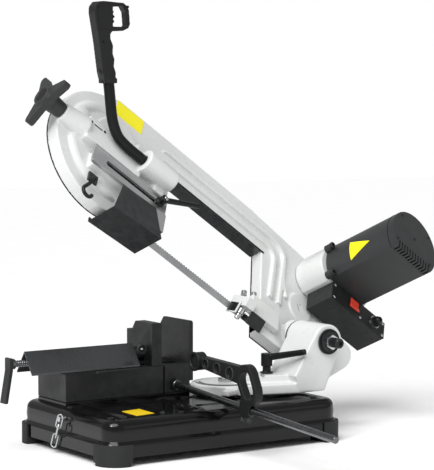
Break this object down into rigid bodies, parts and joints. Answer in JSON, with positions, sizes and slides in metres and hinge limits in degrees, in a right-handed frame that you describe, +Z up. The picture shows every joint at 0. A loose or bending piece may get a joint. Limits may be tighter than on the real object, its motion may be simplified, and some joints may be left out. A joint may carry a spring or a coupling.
{
  "type": "portable metal-cutting band saw",
  "caption": "Swivel-head metal-cutting band saw: hinged bow with blade, wheels and gear motor, on a pressed base with a screw vise and length stop.",
  "frame": {"origin": "on the floor, under the middle of the box round the whole saw at rest", "axes": "+X along the base towards the bow pivot and motor, +Y away from the operator, +Z up"},
  "size_m": [0.8302, 0.6094, 0.7674],
  "materials": {
    "gloss_black_paint": "gloss black enamel",
    "rubber": "matte",
    "black_casting": "satin black paint",
    "black_sheet": "satin black powder coat",
    "grey_sheet": "satin dark grey paint",
    "white_casting": "satin white paint",
    "bare_steel": "satin",
    "zinc_steel": "satin zinc plate",
    "wheel_iron": "matte grey primer",
    "motor_shell": "satin dark grey paint",
    "black_plastic": "satin",
    "grey_plastic": "matte",
    "red_plastic": "gloss",
    "copper_pack": "varnished"
  },
  "bodies": {
    "base": {"base_tray": "gloss_black_paint", "foot_front_left": "rubber", "foot_front_right": "rubber", "foot_rear_left": "rubber", "foot_rear_right": "rubber", "chain_screw": "bare_steel", "vise_bed": "black_casting", "fixed_jaw_block": "black_casting", "fixed_jaw": "black_casting", "screw_nut": "black_casting", "swivel_pin": "bare_steel"},
    "chain": {"safety_chain": "zinc_steel"},
    "jaw": {"moving_jaw": "black_casting", "screw_cover": "grey_sheet"},
    "screw": {"lead_screw": "bare_steel", "crank_handle": "black_sheet"},
    "rod": {"stop_rod": "bare_steel"},
    "stop": {"stop_arm": "black_plastic"},
    "swivel": {"swivel_arm": "white_casting"},
    "swivel_lever": {"swivel_lock_lever": "black_sheet"},
    "bow": {"bow_frame": "white_casting", "wheel_cover": "black_sheet", "throat_guard": "grey_sheet", "chain_hook": "black_sheet", "blade": "bare_steel", "drive_axle": "bare_steel", "rear_guide_arm": "white_casting", "rear_guide_block": "black_sheet", "gearbox_housing": "white_casting", "motor_housing": "motor_shell", "motor_end_cap": "grey_plastic", "motor_stator": "copper_pack", "control_box": "black_sheet", "control_panel": "black_plastic", "cable_gland": "bare_steel", "handle_tube": "black_sheet", "trigger_handle": "black_plastic", "pivot_bolt": "black_sheet", "pivot_nut": "bare_steel", "pivot_washer": "black_sheet", "pivot_spacer": "black_sheet"},
    "tension": {"tension_slide": "bare_steel"},
    "idler": {"idler_wheel": "wheel_iron"},
    "knob": {"tension_knob": "black_plastic"},
    "drive": {"drive_wheel": "wheel_iron", "drive_gear": "bare_steel"},
    "gears": {"gear_shaft": "bare_steel"},
    "rotor": {"motor_rotor": "bare_steel"},
    "guide": {"guide_arm": "zinc_steel", "blade_guard": "black_sheet", "front_guide_bracket": "zinc_steel"},
    "guide_lever": {"guide_lock_lever": "black_sheet"},
    "front_near": {"front_roller_near": "bare_steel"},
    "front_far": {"front_roller_far": "bare_steel"},
    "front_back": {"front_roller_back": "bare_steel"},
    "rear_near": {"rear_roller_near": "bare_steel"},
    "rear_far": {"rear_roller_far": "bare_steel"},
    "rear_back": {"rear_roller_back": "bare_steel"},
    "trigger": {"trigger": "black_plastic"},
    "rocker": {"rocker_switch": "red_plastic"}
  },
  "joints": [
    {"name": "bow_tilt", "type": "hinge", "parent": "swivel", "child": "bow", "pos_m": [0.15872, 0.1557, 0.167], "axis": [0, 1, 0], "range_deg": [-35.5, 9]},
    {"name": "swivel_turn", "type": "hinge", "parent": "base", "child": "swivel", "pos_m": [-0.00178, 0.1427, 0.09], "axis": [0, 0, 1], "range_deg": [0, 60]},
    {"name": "swivel_lever_turn", "type": "hinge", "parent": "swivel", "child": "swivel_lever", "pos_m": [0.06622, 0.1107, 0.12], "axis": [0, 0, 1], "range_deg": [-60, 0]},
    {"name": "jaw_slide", "type": "slide", "parent": "base", "child": "jaw", "axis": [-1, 0, 0], "range_m": [-0.056, 0.064]},
    {"name": "screw_turn", "type": "hinge", "parent": "jaw", "child": "screw", "pos_m": [-0.20578, 0.2057, 0.151], "axis": [1, 0, 0], "range_deg": [-5100, 5820]},
    {"name": "stop_swing", "type": "hinge", "parent": "base", "child": "rod", "pos_m": [-0.09278, 0.1677, 0.097], "axis": [0, -0.9979, -0.0655], "range_deg": [-60, 60]},
    {"name": "stop_slide", "type": "slide", "parent": "rod", "child": "stop", "axis": [0, -0.9979, -0.0655], "range_m": [-0.02, 0.2]},
    {"name": "chain_swing", "type": "hinge", "parent": "base", "child": "chain", "pos_m": [-0.34228, 0.1347, 0.062], "axis": [1, 0, 0], "range_deg": [-60, 60]},
    {"name": "tension_travel", "type": "slide", "parent": "bow", "child": "tension", "axis": [0.8141, 0, -0.5807], "range_m": [0, 0.008]},
    {"name": "knob_turn", "type": "hinge", "parent": "bow", "child": "knob", "pos_m": [-0.33756, 0.19003, 0.60263], "axis": [0.8141, 0, -0.5807], "range_deg": [0, 1925]},
    {"name": "drive_turn", "type": "hinge", "parent": "bow", "child": "drive", "pos_m": [0.19869, 0.20869, 0.20581], "axis": [-0.3077, 0.848, -0.4314], "continuous": true},
    {"name": "idler_turn", "type": "hinge", "parent": "tension", "child": "idler", "pos_m": [-0.21244, 0.20869, 0.49906], "axis": [-0.3077, 0.848, -0.4314], "continuous": true},
    {"name": "gear_turn", "type": "hinge", "parent": "bow", "child": "gears", "pos_m": [0.24697, 0.24826, 0.24915], "axis": [-0.3077, 0.848, -0.4314], "continuous": true},
    {"name": "rotor_turn", "type": "hinge", "parent": "bow", "child": "rotor", "pos_m": [0.31316, 0.1684, 0.27675], "axis": [-0.3077, 0.848, -0.4314], "continuous": true},
    {"name": "guide_slide", "type": "slide", "parent": "bow", "child": "guide", "axis": [0.8141, 0, -0.5807], "range_m": [0, 0.11]},
    {"name": "guide_lever_turn", "type": "hinge", "parent": "bow", "child": "guide_lever", "pos_m": [-0.13718, 0.13873, 0.42376], "axis": [-0.3077, 0.848, -0.4314], "range_deg": [0, 60]},
    {"name": "front_near_turn", "type": "hinge", "parent": "guide", "child": "front_near", "pos_m": [-0.16888, 0.1469, 0.36382], "axis": [0.5807, 0, 0.8141], "continuous": true},
    {"name": "front_far_turn", "type": "hinge", "parent": "guide", "child": "front_far", "pos_m": [-0.16888, 0.1645, 0.36382], "axis": [0.5807, 0, 0.8141], "continuous": true},
    {"name": "front_back_turn", "type": "hinge", "parent": "guide", "child": "front_back", "pos_m": [-0.16115, 0.1557, 0.37465], "axis": [0, 1, 0], "continuous": true},
    {"name": "rear_near_turn", "type": "hinge", "parent": "bow", "child": "rear_near", "pos_m": [0.03302, 0.1469, 0.21981], "axis": [0.5807, 0, 0.8141], "continuous": true},
    {"name": "rear_far_turn", "type": "hinge", "parent": "bow", "child": "rear_far", "pos_m": [0.03302, 0.1645, 0.21981], "axis": [0.5807, 0, 0.8141], "continuous": true},
    {"name": "rear_back_turn", "type": "hinge", "parent": "bow", "child": "rear_back", "pos_m": [0.04075, 0.1557, 0.23064], "axis": [0, 1, 0], "continuous": true},
    {"name": "trigger_press", "type": "hinge", "parent": "bow", "child": "trigger", "pos_m": [-0.22581, 0.1737, 0.75339], "axis": [0, 1, 0], "range_deg": [0, 7], "stiffness_Nm_per_rad": 0.5, "springref_deg": -5.73},
    {"name": "rocker_tip", "type": "hinge", "parent": "bow", "child": "rocker", "pos_m": [0.29337, 0.15081, 0.21457], "axis": [0.8141, 0, -0.5807], "range_deg": [0, 16]}
  ],
  "couplings": [
    {"joint": "screw_turn", "follows": "jaw_slide", "rad_per_m": 1570.8},
    {"joint": "knob_turn", "follows": "tension_travel", "rad_per_m": 4188.8},
    {"joint": "idler_turn", "follows": "drive_turn", "ratio": 1},
    {"joint": "gear_turn", "follows": "drive_turn", "ratio": -5.3333},
    {"joint": "rotor_turn", "follows": "drive_turn", "ratio": 17.778}
  ]
}
